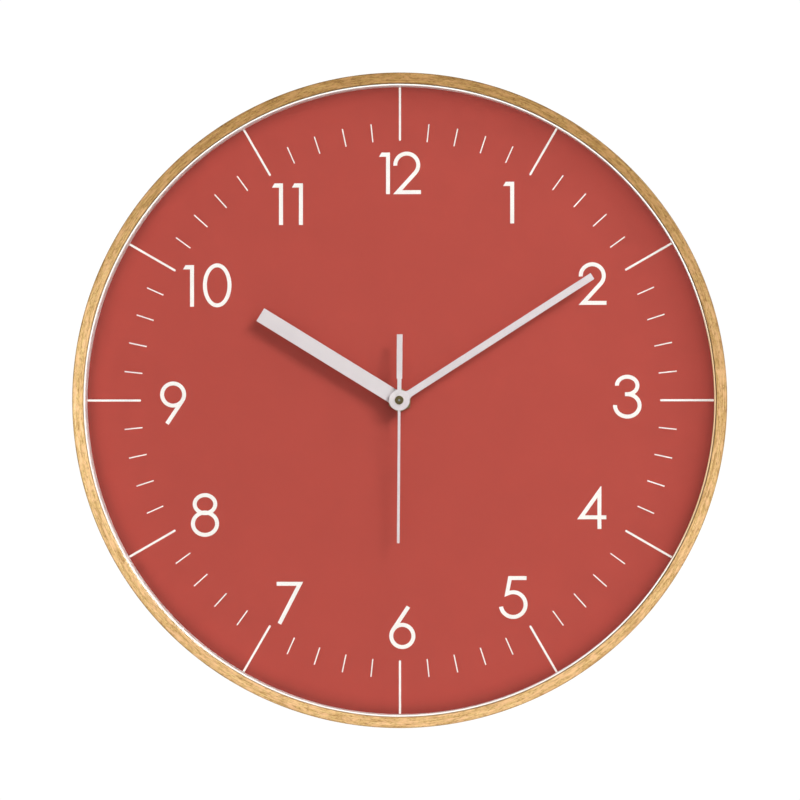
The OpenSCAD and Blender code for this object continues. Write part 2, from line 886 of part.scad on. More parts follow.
module third_wheel() {
    wheel_phase = mesh(second_pinion_teeth, 0, third_teeth, third_dir);
    pinion_phase = mesh(centre_teeth, 0, third_pinion_teeth, third_dir);
    color("ivory") placed() translate(third_at) {
        gear(third_wheel_r, third_teeth, wheel_phase, third_wheel_z);
        gear(third_pinion_r, third_pinion_teeth, pinion_phase, centre_wheel_z + 0.3, 2.7);
        shaft(arbor_r, cover_z + boss_h + 0.1, third_wheel_z - 0.2);
        shaft(pivot_r, cover_z, centre_wheel_z + 1.3);
    }
}

module fifth_wheel() {
    pinion_phase = mesh(second_teeth, 0, fifth_pinion_teeth, fifth_dir);
    color("ivory") placed() translate(fifth_at) {
        gear(fifth_wheel_r, fifth_teeth, 0, fifth_wheel_z);
        gear(fifth_pinion_r, fifth_pinion_teeth, pinion_phase, second_wheel_z + 0.2, 2.2);
        shaft(pivot_r, cover_z, bridge_z - 0.1);
    }
}

module rotor_pinion() {
    phase = mesh(fifth_teeth, 0, rotor_teeth, rotor_dir);
    top = case_z - 9;
    color("ivory") placed() translate(rotor_at) {
        gear(rotor_pinion_r, rotor_teeth, phase, fifth_wheel_z + 0.3, 1.4);
        shaft(arbor_r, fifth_wheel_z + 0.2, top);
        shaft(pivot_r, cover_z, top + 1);
    }
}

module rotor_magnet() {
    color("darkslategray") placed() translate(rotor_at) tube(2.5, arbor_r + press, case_z - 12.1, 3);
}

// ---------- hands ----------

module pointing(angle) {
    rotate([0, 0, -angle]) children();
}

module blade(w, from, to) {
    translate([-w / 2, from]) square([w, to - from]);
}

module hour_hand() {
    color("gainsboro") placed() pointing(hour_angle) slab(hour_hand_z, hand_t) difference() {
        union() {
            circle(hub_r);
            blade(hour_w, 0, hour_len);
        }
        circle(hour_pipe_r + press);
    }
}

// the arm widens in a short taper where it meets the hub
module minute_hand() {
    root = [3.6, 2.6];
    neck = [minute_w / 2, 7.5];
    color("gainsboro") placed() pointing(minute_angle) slab(minute_hand_z, hand_t) difference() {
        union() {
            circle(hub_r - 0.15);
            blade(minute_w, 0, minute_len);
            polygon([[-root.x, root.y], root, neck, [-neck.x, neck.y]]);
        }
        circle(pipe_r + press);
    }
}

tube_r = 1.25;

module second_hand() {
    arm_w = 1.25;
    neck_w = 1.9;
    weight_w = 2.7;
    neck_end = -9.9;
    color("gainsboro") placed() pointing(second_angle) slab(second_hand_z + 0.2, hand_t - 0.1) difference() {
        union() {
            circle(hub_r);
            blade(arm_w, 0, second_len);
            blade(neck_w, neck_end - 0.1, 0);
            blade(weight_w, -second_tail, neck_end);
        }
        circle(tube_r + press);
    }
}

module second_bush() {
    color("darkgoldenrod") placed() {
        tube(tube_r, arbor_r + press, second_hand_z, 1);
        tube(2, arbor_r + press, second_hand_z + 0.62, 0.4);
    }
}

wood_frame();
front_ring();
spacer_ring();
glass_lens();
dial_board();
dial_face();
minute_marks();
hour_marks();
numerals();
board_clips();
clip_screws();
hanger_bracket();
rubber_gasket();
centre_bush();
centre_nut();
movement_case();
movement_cover();
gear_bridge();
stator();
coil_bobbin();
coil_winding();
circuit_board();
chip_blob();
quartz_crystal();
positive_contact();
negative_contact();
battery_cell();
battery_sleeve();
hour_wheel();
hour_hand();
minute_pipe();
centre_wheel();
clutch_spring();
minute_hand();
second_arbor();
second_wheel();
second_pinion();
second_hand();
second_bush();
third_wheel();
fifth_wheel();
rotor_pinion();
rotor_magnet();
minute_wheel();
setting_knob();
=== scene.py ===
"""A round wall clock: the looks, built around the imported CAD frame.

The clock hangs on the wall plane Y = 0 and faces -Y. The hands turn about the Y axis through the origin.
Sizes are in metres. Positions come from the CAD nodes' own boxes.
"""
import json
import math

import bmesh
import bpy
from mathutils import Matrix, Vector


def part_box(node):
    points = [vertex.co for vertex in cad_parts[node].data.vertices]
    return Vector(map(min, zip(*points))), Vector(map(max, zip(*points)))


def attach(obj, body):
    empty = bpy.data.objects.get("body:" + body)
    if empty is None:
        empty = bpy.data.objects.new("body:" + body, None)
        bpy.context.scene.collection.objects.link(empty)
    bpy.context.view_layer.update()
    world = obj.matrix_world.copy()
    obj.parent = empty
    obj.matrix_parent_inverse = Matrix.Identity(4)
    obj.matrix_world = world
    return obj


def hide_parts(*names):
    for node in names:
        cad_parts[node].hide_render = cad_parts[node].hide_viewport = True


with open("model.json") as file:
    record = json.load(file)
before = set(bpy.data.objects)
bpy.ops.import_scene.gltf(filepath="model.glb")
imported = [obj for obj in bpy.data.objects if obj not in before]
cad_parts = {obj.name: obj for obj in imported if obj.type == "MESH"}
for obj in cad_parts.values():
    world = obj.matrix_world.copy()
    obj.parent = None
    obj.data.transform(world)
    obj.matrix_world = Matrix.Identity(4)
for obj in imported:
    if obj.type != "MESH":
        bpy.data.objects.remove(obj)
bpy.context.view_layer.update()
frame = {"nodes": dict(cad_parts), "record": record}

MM = 0.001
ROUND_STEPS = 360
SHARP_ANGLE = 35  # degrees between faces; edges above it are eased, and shaded as sharp


# ---------- sizes read from the frame ----------

def radius_of(node):
    """Largest radius of a node that is centred on the hands' axis."""
    low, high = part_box(node)
    return max(-low.x, high.x)


def inner_radius_of(node):
    """Smallest distance of a ring's vertices from the hands' axis."""
    return min(math.hypot(v.co.x, v.co.z) for v in frame["nodes"][node].data.vertices)


def depth_of(node):
    """Y of a node's front face and of its rear face."""
    low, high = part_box(node)
    return low.y, high.y


# ---------- mesh helpers ----------

def finish_piece(name, bm, body, slot, replaced=(), smooth_angle=SHARP_ANGLE):
    """Turns a bmesh into a piece that rides on body and stands for the replaced nodes, if any."""
    bmesh.ops.recalc_face_normals(bm, faces=bm.faces)
    mesh = bpy.data.meshes.new(name)
    bm.to_mesh(mesh)
    bm.free()
    piece = bpy.data.objects.new(name, mesh)
    bpy.context.scene.collection.objects.link(piece)
    mesh.materials.append(materials[slot])
    mesh.shade_smooth()
    mesh.set_sharp_from_angle(angle=math.radians(smooth_angle))
    normals = piece.modifiers.new("flat_faces_stay_flat", "WEIGHTED_NORMAL")
    normals.keep_sharp = True
    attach(piece, body)
    if replaced:
        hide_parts(*replaced)
    return piece


def rounded(corners, steps=4):
    """A closed outline from (u, v, radius) corners, each turned into an arc of that radius."""
    points = []
    count = len(corners)
    for i, (u, v, radius) in enumerate(corners):
        here = Vector((u, v))
        if radius == 0:
            points.append(here)
            continue
        back = (Vector(corners[i - 1][:2]) - here).normalized()
        ahead = (Vector(corners[(i + 1) % count][:2]) - here).normalized()
        half = math.acos(max(-1, min(1, back.dot(ahead)))) / 2
        centre = here + (back + ahead).normalized() * radius / math.sin(half)
        start = here + back * radius / math.tan(half) - centre
        end = here + ahead * radius / math.tan(half) - centre
        sweep = start.angle_signed(end)
        for k in range(steps + 1):
            points.append(centre + Matrix.Rotation(-sweep * k / steps, 2) @ start)
    return points


def lathe(bm, profile, steps=ROUND_STEPS, at=(0, 0), shape=None):
    """Turns a closed (r, y) outline about the Y axis through at.

    shape(angle, r) may change r along the turn.
    """
    rings = []
    for k in range(steps):
        angle = 2 * math.pi * k / steps
        ring = []
        for r, y in profile:
            q = shape(angle, r) if shape else r
            ring.append(bm.verts.new((at[0] + q * math.sin(angle), y, at[1] + q * math.cos(angle))))
        rings.append(ring)
    count = len(profile)
    for k in range(steps):
        ring, after = rings[k], rings[(k + 1) % steps]
        for i in range(count):
            j = (i + 1) % count
            bm.faces.new((ring[i], ring[j], after[j], after[i]))
    bmesh.ops.remove_doubles(bm, verts=bm.verts, dist=1e-7)


def turned(bm, profile, steps=96):
    """Turns an open (r, y) line that starts and ends on the axis, which makes a solid of revolution."""
    rings = []
    for r, y in profile:
        if r == 0:
            rings.append([bm.verts.new((0, y, 0))])
            continue
        angles = [2 * math.pi * k / steps for k in range(steps)]
        rings.append([bm.verts.new((r * math.sin(a), y, r * math.cos(a))) for a in angles])
    for ring, after in zip(rings, rings[1:]):
        for k in range(steps):
            quad = [ring[k % len(ring)], ring[(k + 1) % len(ring)],
                    after[(k + 1) % len(after)], after[k % len(after)]]
            bm.faces.new(list(dict.fromkeys(quad)))


def plate(bm, loops, front, rear):
    """A flat plate between two depths, from (x, z) loops: the outline first, then its holes."""
    edges = []
    for loop in loops:
        verts = [bm.verts.new((x, front, z)) for x, z in loop]
        edges += [bm.edges.new((verts[i - 1], verts[i])) for i in range(len(verts))]
    bmesh.ops.triangle_fill(bm, use_beauty=True, use_dissolve=False, edges=edges)
    faces = list(bm.faces)
    made = bmesh.ops.extrude_face_region(bm, geom=faces)
    moved = [v for v in made["geom"] if isinstance(v, bmesh.types.BMVert)]
    bmesh.ops.translate(bm, verts=moved, vec=(0, rear - front, 0))
    bmesh.ops.dissolve_limit(bm, angle_limit=math.radians(0.5), verts=bm.verts, edges=bm.edges)


def ease_edges(bm, width, segments=2):
    """Rounds every edge sharper than SHARP_ANGLE by width."""
    limit = math.radians(SHARP_ANGLE)
    sharp = [e for e in bm.edges if len(e.link_faces) == 2 and e.calc_face_angle(0) > limit]
    bmesh.ops.bevel(bm, geom=sharp, offset=width, segments=segments, profile=0.5,
                    affect="EDGES", clamp_overlap=True)


def on_circle(r, angle):
    """The point (across, along) at radius r and angle, clockwise from along, in degrees."""
    a = math.radians(angle)
    return r * math.sin(a), r * math.cos(a)


def circle_points(r, steps, start=0.0, end=360.0):
    """Points (across, along) on a circle round the axis, angles clockwise from along, in degrees."""
    closed = abs(end - start) >= 360
    count = steps if closed else steps + 1
    return [on_circle(r, start + (end - start) * k / steps) for k in range(count)]


def softened(node, slot, width):
    """A fixed CAD node's own shape with its edges rounded, as moulded and pressed parts have them."""
    bm = bmesh.new()
    bm.from_mesh(frame["nodes"][node].data)
    bmesh.ops.remove_doubles(bm, verts=bm.verts, dist=2e-6)
    bmesh.ops.dissolve_limit(bm, angle_limit=math.radians(1), verts=bm.verts, edges=bm.edges)
    ease_edges(bm, width)
    finish_piece(node + "_finished", bm, "clock", slot, [node])


# ---------- material helpers ----------

class Nodes:
    """A short way to build a material's node tree."""

    def __init__(self, name):
        self.material = bpy.data.materials.new(name)
        self.material.use_nodes = True
        self.tree = self.material.node_tree
        self.shader = self.tree.nodes["Principled BSDF"]

    def add(self, kind, **inputs):
        node = self.tree.nodes.new("ShaderNode" + kind)
        for key, value in inputs.items():
            self.put(node.inputs[key.replace("_", " ")], value)
        return node

    def put(self, socket, value):
        if isinstance(value, bpy.types.NodeSocket):
            self.tree.links.new(value, socket)
        else:
            socket.default_value = value

    def set(self, **inputs):
        for key, value in inputs.items():
            self.put(self.shader.inputs[key.replace("_", " ")], value)

    def math(self, operation, a, b=0.0):
        node = self.add("Math")
        node.operation = operation
        self.put(node.inputs[0], a)
        self.put(node.inputs[1], b)
        return node.outputs[0]

    def place(self):
        return self.add("TexCoord").outputs["Object"]

    def stretched(self, scale):
        node = self.add("Mapping", Vector=self.place(), Scale=scale)
        return node.outputs["Vector"]

    def noise(self, vector, scale, detail=4.0, roughness=0.55):
        node = self.add("TexNoise", Vector=vector, Scale=scale, Detail=detail, Roughness=roughness)
        return node.outputs["Fac"]

    def axes(self):
        """The place's x, y and z, and its distance from the Y axis."""
        xyz = self.add("SeparateXYZ", Vector=self.place())
        x, y, z = (xyz.outputs[axis] for axis in "XYZ")
        squares = self.math("ADD", self.math("MULTIPLY", x, x), self.math("MULTIPLY", z, z))
        return x, y, z, self.math("SQRT", squares)

    def hoop_noise(self, along, across, detail, roughness):
        """Seamless noise in streaks round the Y axis. along and across are its scales per metre."""
        x, y, z, radius = self.axes()
        place = self.add("CombineXYZ", X=self.math("MULTIPLY", x, along),
                         Y=self.math("MULTIPLY", z, along), Z=self.math("MULTIPLY", radius, across))
        node = self.add("TexNoise")
        node.noise_dimensions = "4D"
        self.put(node.inputs["Vector"], place.outputs[0])
        self.put(node.inputs["W"], self.math("MULTIPLY", y, across))
        for key, value in (("Scale", 1.0), ("Detail", detail), ("Roughness", roughness)):
            node.inputs[key].default_value = value
        return node.outputs["Fac"]

    def ramp(self, factor, stops):
        node = self.add("ValToRGB", Fac=factor)
        band = node.color_ramp.elements
        while len(band) < len(stops):
            band.new(0.5)
        for element, (position, colour) in zip(band, stops):
            element.position = position
            element.color = (*colour, 1)
        return node.outputs["Color"]

    def levels(self, factor, low, high, out_low=0.0, out_high=1.0):
        node = self.add("MapRange", Value=factor, From_Min=low, From_Max=high,
                        To_Min=out_low, To_Max=out_high)
        return node.outputs["Result"]

    def mix(self, factor, a, b, blend="MIX"):
        node = self.add("Mix")
        node.data_type = "RGBA"
        node.blend_type = blend
        self.put(node.inputs["Factor"], factor)
        self.put(node.inputs["A"], a if isinstance(a, bpy.types.NodeSocket) else (*a, 1))
        self.put(node.inputs["B"], b if isinstance(b, bpy.types.NodeSocket) else (*b, 1))
        return node.outputs["Result"]

    def bump(self, height, distance, strength=1.0):
        node = self.add("Bump", Height=height, Distance=distance, Strength=strength)
        self.set(Normal=node.outputs["Normal"])


# Linear colours. A tint, a painted shade or a painted light multiplies the colour under it. Its reach,
# heights or radii say where it begins and where it is full.
DIAL_RED = (0.44, 0.0605, 0.043)
# Painted shade: the dial's red darkens over its last few millimetres, as if the rim shaded it.
PAINTED_RIM_SHADE = [(0.4, (1, 1, 1)), (0.7, (0.92, 0.91, 0.91)), (1.0, (0.7, 0.68, 0.68))]
PAINTED_RIM_SHADE_RADII = (135 * MM, 146 * MM)
INK_WHITE = (0.95, 0.92, 0.88)
LINER_WHITE = (0.92, 0.91, 0.88)
LINER_RIGHT_TINT = (0.74, 0.53, 0.3)
LINER_TINT_REACH = (129 * MM, 140 * MM)
HAND_GREY = (0.70, 0.643, 0.658)
WOOD_DARK = (0.24, 0.12, 0.03)
WOOD_MID = (0.54, 0.33, 0.115)
WOOD_LIGHT = (0.74, 0.52, 0.225)
WOOD_FLECK = (0.26, 0.115, 0.03)
WOOD_PINK = (0.78, 0.47, 0.24)
# Painted light: the rim's left side is lightened as if lit more strongly.
WOOD_LEFT_PAINTED_LIGHT = (1.18, 1.24, 1.3)
WOOD_LEFT_PAINTED_LIGHT_REACH = (20 * MM, 150 * MM)
# Painted shade: the rim's top is darkened as if less lit.
WOOD_TOP_PAINTED_SHADE = (0.6, 0.53, 0.37)
WOOD_TOP_PAINTED_SHADE_HEIGHTS = (-20 * MM, 120 * MM)
# Painted shade: the rim darkens along both its edges, as in the shadow line beside the ring.
WOOD_EDGE_PAINTED_SHADE = (0.5, 0.43, 0.3)
BOARD_DARK = (0.16, 0.09, 0.045)
BOARD_MID = (0.27, 0.165, 0.085)
BOARD_LIGHT = (0.4, 0.27, 0.16)
BOARD_SPECK = (0.05, 0.03, 0.015)
GLASS_CLEAR = [(0.4, (0.975, 0.99, 0.985)), (0.6, (0.98, 0.995, 0.99))]
BRASS = (0.33, 0.27, 0.12)
COPPER = [(0.0, (0.22, 0.06, 0.02)), (0.6, (0.75, 0.3, 0.12))]
SLEEVE_BLUE = (0.012, 0.03, 0.07)
SLEEVE_BAND = (0.6, 0.6, 0.58)


def varied(nodes, colour, amount, scale):
    """A colour that drifts a little brighter and darker over the surface."""
    dark = tuple(c * (1 - amount) for c in colour)
    light = tuple(min(1, c * (1 + amount)) for c in colour)
    return nodes.ramp(nodes.noise(nodes.place(), scale), [(0.3, dark), (0.7, light)])


def painted_light_and_shade_on_wood(n, grain):
    """The grain's colour with painted light and shade: a painted shade at the rim's top and both its
    edges, and painted light at its left.
    """
    x, _, z, radius = n.axes()
    painted_shade_lean = 0.12
    # Painted shade darkens the rim's top, and painted light lightens its left.
    height = n.math("ADD", z, n.math("MULTIPLY", x, painted_shade_lean))
    with_painted_top_shade = n.mix(n.levels(height, *WOOD_TOP_PAINTED_SHADE_HEIGHTS), grain, WOOD_TOP_PAINTED_SHADE, "MULTIPLY")
    left = n.math("SUBTRACT", n.math("MULTIPLY", x, -1.0), n.math("ABSOLUTE", z))
    with_painted_left_light = n.mix(n.levels(left, *WOOD_LEFT_PAINTED_LIGHT_REACH), with_painted_top_shade, WOOD_LEFT_PAINTED_LIGHT, "MULTIPLY")
    r_out = radius_of("wood_frame")
    middle = (r_out + radius_of("glass_lens")) / 2
    off_middle = n.math("ABSOLUTE", n.math("SUBTRACT", radius, middle))
    half_width = r_out - middle
    # Painted shade along the inner and outer edges of the rim's front.
    edge = n.levels(off_middle, half_width * 0.7, half_width, 0.0, 0.85)
    return n.mix(edge, with_painted_left_light, WOOD_EDGE_PAINTED_SHADE, "MULTIPLY")


def wood_material():
    """Lacquered bent wood, with streaks, flecks and pinkish patches that follow the hoop, and painted
    light and shade over it.
    """
    n = Nodes("lacquered_bent_wood_and_painted_light")
    streaks = n.hoop_noise(along=60.0, across=2100.0, detail=5.0, roughness=0.68)
    flecks = n.hoop_noise(along=700.0, across=2600.0, detail=3.0, roughness=0.6)
    patches = n.hoop_noise(along=190.0, across=700.0, detail=3.0, roughness=0.6)
    base = n.ramp(streaks, [(0.30, WOOD_DARK), (0.47, WOOD_MID), (0.64, WOOD_LIGHT)])
    flecked = n.mix(n.levels(flecks, 0.50, 0.62, 0.0, 0.8), base, WOOD_FLECK)
    patched = n.mix(n.levels(patches, 0.46, 0.62, 0.0, 0.7), flecked, WOOD_PINK)
    n.set(Base_Color=painted_light_and_shade_on_wood(n, patched), Coat_Weight=0.08, Coat_Roughness=0.3)
    n.set(Roughness=n.levels(streaks, 0.3, 0.7, 0.38, 0.5))
    n.shader.inputs["Specular IOR Level"].default_value = 0.3
    n.bump(streaks, 0.00006, 0.6)
    return n.material


def liner_material():
    """White plastic, tinted towards the wood's tone round three o'clock."""
    n = Nodes("white_liner")
    x, _, z, _ = n.axes()
    right = n.math("SUBTRACT", n.math("MULTIPLY", x, 0.99), n.math("MULTIPLY", z, 0.12))
    tint = n.levels(right, *LINER_TINT_REACH)
    n.set(Base_Color=n.mix(tint, varied(n, LINER_WHITE, 0.015, 30.0), LINER_RIGHT_TINT, "MULTIPLY"))
    n.set(Roughness=0.4)
    n.bump(n.noise(n.place(), 2500.0, 3.0), 0.00001, 0.5)
    return n.material


def print_and_painted_shade_material():
    """The dial's printed red: matt, with the faint mottle of coated paper, and a painted shade that
    darkens it close to the rim.

    The painted shade is a little wider at the lower left.
    """
    n = Nodes("red_dial_print_and_painted_shade")
    x, _, z, radius = n.axes()
    # Painted shade: the print darkens towards the rim, and reaches a little further in at the lower left.
    painted_shade_lean = n.math("MULTIPLY", n.math("ADD", x, z), 0.005)
    shade = n.ramp(n.levels(n.math("SUBTRACT", radius, painted_shade_lean), *PAINTED_RIM_SHADE_RADII), PAINTED_RIM_SHADE)
    n.set(Base_Color=n.mix(1.0, varied(n, DIAL_RED, 0.025, 60.0), shade, "MULTIPLY"), Roughness=0.62)
    n.shader.inputs["Specular IOR Level"].default_value = 0.25
    n.bump(n.noise(n.place(), 9000.0, 3.0), 0.00001, 0.5)
    return n.material


def plain_material(name, colour, roughness, drift, drift_scale, grain_scale, grain):
    """Plastic, paint, ink or rubber: one colour that drifts a little, and a fine surface grain."""
    n = Nodes(name)
    n.set(Base_Color=varied(n, colour, drift, drift_scale))
    grit = n.noise(n.place(), grain_scale, 3.0)
    n.set(Roughness=n.levels(grit, 0.3, 0.7, roughness - 0.05, roughness + 0.05))
    n.bump(grit, grain, 0.5)
    return n.material


def metal_material(name, colour, roughness, stretch):
    """Bare or plated metal with fine drawn lines along its longer direction."""
    n = Nodes(name)
    lines = n.noise(n.stretched(stretch), 900.0, 5.0, 0.65)
    n.set(Base_Color=varied(n, colour, 0.08, 120.0), Metallic=1.0)
    n.set(Roughness=n.levels(lines, 0.3, 0.7, roughness - 0.08, roughness + 0.1))
    n.bump(lines, 0.00001, 0.5)
    return n.material


def turned_brass_material():
    """Brass turned on a lathe, with rings about the hands' axis."""
    n = Nodes("turned_brass")
    radius = n.axes()[3]
    rings = n.noise(n.add("CombineXYZ", X=n.math("MULTIPLY", radius, 9000.0)).outputs[0], 1.0, 3.0)
    n.set(Base_Color=varied(n, BRASS, 0.15, 700.0), Metallic=1.0)
    n.set(Roughness=n.levels(rings, 0.3, 0.7, 0.32, 0.48))
    n.bump(rings, 0.00002, 0.7)
    return n.material


def fibreboard_material():
    """Bare hardboard: matted brown fibres with darker specks."""
    n = Nodes("bare_fibreboard")
    fibres = n.noise(n.stretched((1, 1, 2.2)), 700.0, 6.0, 0.7)
    patches = n.noise(n.place(), 25.0, 3.0)
    specks = n.levels(n.noise(n.place(), 1500.0, 2.0), 0.64, 0.7, 0.0, 0.6)
    base = n.ramp(fibres, [(0.3, BOARD_DARK), (0.5, BOARD_MID), (0.7, BOARD_LIGHT)])
    toned = n.mix(n.levels(patches, 0.3, 0.7, 0.0, 0.3), base, BOARD_DARK)
    n.set(Base_Color=n.mix(specks, toned, BOARD_SPECK), Roughness=0.85)
    n.bump(fibres, 0.0001, 0.6)
    return n.material


def winding_material():
    """Enamelled wire: fine turns round the coil, side by side along X."""
    n = Nodes("copper_winding")
    turns = n.add("TexWave", Vector=n.place(), Scale=1300.0, Distortion=0.4)
    turns.bands_direction = "X"
    n.set(Base_Color=n.ramp(turns.outputs["Fac"], COPPER))
    n.set(Metallic=1.0, Roughness=0.32, Coat_Weight=0.4, Coat_Roughness=0.1)
    n.bump(turns.outputs["Fac"], 0.0001, 0.8)
    return n.material


def sleeve_material():
    """The cell's plain shrink film: dark, with one pale band near the positive end."""
    n = Nodes("cell_sleeve_film")
    x = n.add("SeparateXYZ", Vector=n.place()).outputs["X"]
    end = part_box("battery_sleeve")[1].x
    past_start = n.math("GREATER_THAN", x, end - 11 * MM)
    before_end = n.math("LESS_THAN", x, end - 8.5 * MM)
    band = n.math("MULTIPLY", past_start, before_end)
    film = varied(n, SLEEVE_BLUE, 0.1, 90.0)
    n.set(Base_Color=n.mix(band, film, SLEEVE_BAND), Roughness=0.24, Coat_Weight=0.3)
    n.bump(n.noise(n.stretched((0.2, 1, 1)), 900.0, 3.0), 0.00002, 0.5)
    return n.material


def glass_material():
    """Clear float glass, a little greenish. Light from lamps passes straight through it."""
    n = Nodes("clear_glass")
    n.set(Base_Color=n.ramp(n.noise(n.place(), 20.0), GLASS_CLEAR))
    n.set(Roughness=0.0, Transmission_Weight=1.0, IOR=1.45)
    clear = n.add("BsdfTransparent", Color=(0.96, 0.98, 0.97, 1))
    shadow_ray = n.add("LightPath").outputs["Is Shadow Ray"]
    both = n.add("MixShader")
    n.put(both.inputs[0], shadow_ray)
    n.put(both.inputs[1], n.shader.outputs[0])
    n.put(both.inputs[2], clear.outputs[0])
    n.put(n.tree.nodes["Material Output"].inputs["Surface"], both.outputs[0])
    return n.material


# slot: name, colour, roughness, colour drift, drift's scale, grain's scale and its height in metres
PLAIN_MATERIALS = {
    "white_print": ("white_ink", INK_WHITE, 0.55, 0.01, 200.0, 9000.0, 0.000005),
    "rubber": ("black_rubber", (0.025, 0.025, 0.025), 0.8, 0.1, 300.0, 3000.0, 0.00005),
    "black_plastic": ("black_moulding", (0.022, 0.022, 0.024), 0.46, 0.12, 60.0, 2600.0, 0.00006),
    "gear_plastic": ("natural_acetal", (0.78, 0.76, 0.68), 0.42, 0.03, 150.0, 3500.0, 0.00001),
    "green_plastic": ("green_moulding", (0.02, 0.12, 0.05), 0.42, 0.1, 200.0, 3000.0, 0.00002),
    "magnet": ("sintered_magnet", (0.06, 0.06, 0.065), 0.5, 0.15, 900.0, 5000.0, 0.00003),
    "hand_paint": ("hand_paint", HAND_GREY, 0.5, 0.015, 90.0, 5000.0, 0.000008),
}


def make_materials():
    """One material for each of the record's material slots."""
    made = {slot: plain_material(*row) for slot, row in PLAIN_MATERIALS.items()}
    made.update({
        "bent_wood": wood_material(),
        "white_plastic": liner_material(),
        "clear_glass": glass_material(),
        "fibreboard": fibreboard_material(),
        "dial_print": print_and_painted_shade_material(),
        "zinc_steel": metal_material("zinc_plated_steel", (0.62, 0.63, 0.65), 0.34, (1, 1, 0.15)),
        "brass": turned_brass_material(),
        "motor_iron": metal_material("motor_iron", (0.36, 0.36, 0.37), 0.42, (0.3, 1, 1)),
        "copper_wire": winding_material(),
        "cell_can": metal_material("nickel_plated_can", (0.66, 0.66, 0.67), 0.25, (0.2, 1, 1)),
        "cell_wrap": sleeve_material(),
    })
    return made


materials = make_materials()


# ---------- rim, liner and glass ----------

def make_rim():
    """The bent-wood band: a turned hoop with eased edges and shallow lines where its plies meet."""
    r_out = radius_of("wood_frame")
    front, rear = depth_of("wood_frame")
    gap_round_glass, ease, groove, plies = 0.4 * MM, 0.6 * MM, 0.06 * MM, 4
    r_in = radius_of("glass_lens") + gap_round_glass
    corners = [(r_in, rear, ease)]
    for y, out, order in ((front, -1, range(1, plies)), (rear, 1, range(plies - 1, 0, -1))):
        edge = [(r_in, y, ease), (r_out, y, ease)]
        lines = []
        for k in order:
            r = r_in + (r_out - r_in) * k / plies
            side = groove if out < 0 else -groove
            lines += [(r - side, y, 0), (r, y - out * groove, 0), (r + side, y, 0)]
        corners += [edge[0], *lines, edge[1]] if out < 0 else [edge[1], *lines]
    bm = bmesh.new()
    lathe(bm, rounded(corners, 6))
    return finish_piece("bent_wood_rim", bm, "clock", "bent_wood", ["wood_frame"])


def make_liner(node, name):
    """A white plastic strip bent into a ring, with soft edges."""
    r_in, r_out = inner_radius_of(node), radius_of(node)
    front, rear = depth_of(node)
    ease = 0.14 * MM
    corners = [(r_in, rear, ease), (r_in, front, ease), (r_out, front, ease), (r_out, rear, ease)]
    bm = bmesh.new()
    lathe(bm, rounded(corners, 3))
    return finish_piece(name, bm, "clock", "white_plastic", [node])


def make_glass():
    """The flat glass, a disc with seamed edges."""
    r = radius_of("glass_lens")
    front, rear = depth_of("glass_lens")
    seam = 0.25 * MM
    line = [(0, front), (r - seam, front), (r, front + seam),
            (r, rear - seam), (r - seam, rear), (0, rear)]
    bm = bmesh.new()
    turned(bm, line, ROUND_STEPS)
    return finish_piece("front_glass", bm, "clock", "clear_glass", ["glass_lens"], 20)


# ---------- hands ----------

HUB_R = 4.85 * MM
HAND_BORES = {"hour": 2.02 * MM, "minute": 1.27 * MM, "second": 1.27 * MM}


def pointed(loop, angle):
    """Gives (x, z) for (across, along) points, with along at this angle clockwise from twelve."""
    s, c = math.sin(angle), math.cos(angle)
    return [(u * c + v * s, v * c - u * s) for u, v in loop]


def tip_of(node):
    """A hand's angle at rest, its length and half the width of its square tip."""
    verts = [Vector((v.co.x, v.co.z)) for v in frame["nodes"][node].data.vertices]
    reach = max(v.length for v in verts)
    corners = [v for v in verts if v.length > reach - 0.02 * MM]
    middle = sum(corners, Vector((0, 0))) / len(corners)
    half = max((v - middle).length for v in corners)
    return math.atan2(middle.x, middle.y), middle.length, half


def make_hand(body, outline):
    """A stamped hand from its outline, with a bore at the hub and edges that the die has rounded."""
    node = body + "_hand"
    angle, length, half = tip_of(node)
    front, rear = depth_of(node)
    bm = bmesh.new()
    plate(bm, [pointed(outline(length, half), angle), circle_points(HAND_BORES[body], 48)], front, rear)
    ease_edges(bm, 0.13 * MM, 3)
    finish_piece(node + "_blade", bm, body, "hand_paint", [node], 40)


def hour_outline(length, half):
    """A straight bar on a round hub that is a little wider."""
    meet = math.degrees(math.asin(half / HUB_R))
    return [(-half, length), (half, length)] + circle_points(HUB_R, 60, meet, 360 - meet)


def minute_outline(length, half):
    """A slim bar that flows into the hub in two round fillets."""
    hub, fillet = HUB_R - 0.15 * MM, 3.0 * MM
    centre = Vector((half + fillet, math.sqrt((hub + fillet) ** 2 - (half + fillet) ** 2)))
    meet = math.degrees(math.atan2(centre.x, centre.y))
    steps = 8
    arc = []
    for k in range(steps):
        a = math.radians(-90 - (90 - meet) * k / steps)
        arc.append((centre.x + fillet * math.sin(a), centre.y + fillet * math.cos(a)))
    left = [(-u, v) for u, v in reversed(arc)]
    return [(-half, length), (half, length)] + arc + circle_points(hub, 48, meet, 360 - meet) + left


def second_outline(length, half):
    """A needle, the hub disc, and a stepped counterweight on the tail."""
    neck, weight, step = 0.95 * MM, 1.35 * MM, 9.8 * MM
    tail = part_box("second_hand")[1].z
    meet_arm = math.degrees(math.asin(half / HUB_R))
    meet_neck = math.degrees(math.asin(neck / HUB_R))
    side = [(neck, -step), (weight, -step - 0.3 * MM), (weight, -tail)]
    right = circle_points(HUB_R, 24, meet_arm, 180 - meet_neck) + side
    left = [(-u, v) for u, v in reversed(right)]
    return [(-half, length), (half, length)] + right + left


def make_second_boss():
    """The ring pressed up round the second hand's bore."""
    front, rear = depth_of("second_hand")
    r_in, r_out = 2.06 * MM, 2.65 * MM
    top, foot = front - 0.12 * MM, rear - 0.05 * MM
    corners = [(r_in, foot, 0), (r_in, top, 0.08 * MM), (r_out, top, 0.1 * MM), (r_out, foot, 0)]
    bm = bmesh.new()
    lathe(bm, rounded(corners, 3), 72)
    finish_piece("second_hand_boss", bm, "second", "hand_paint")


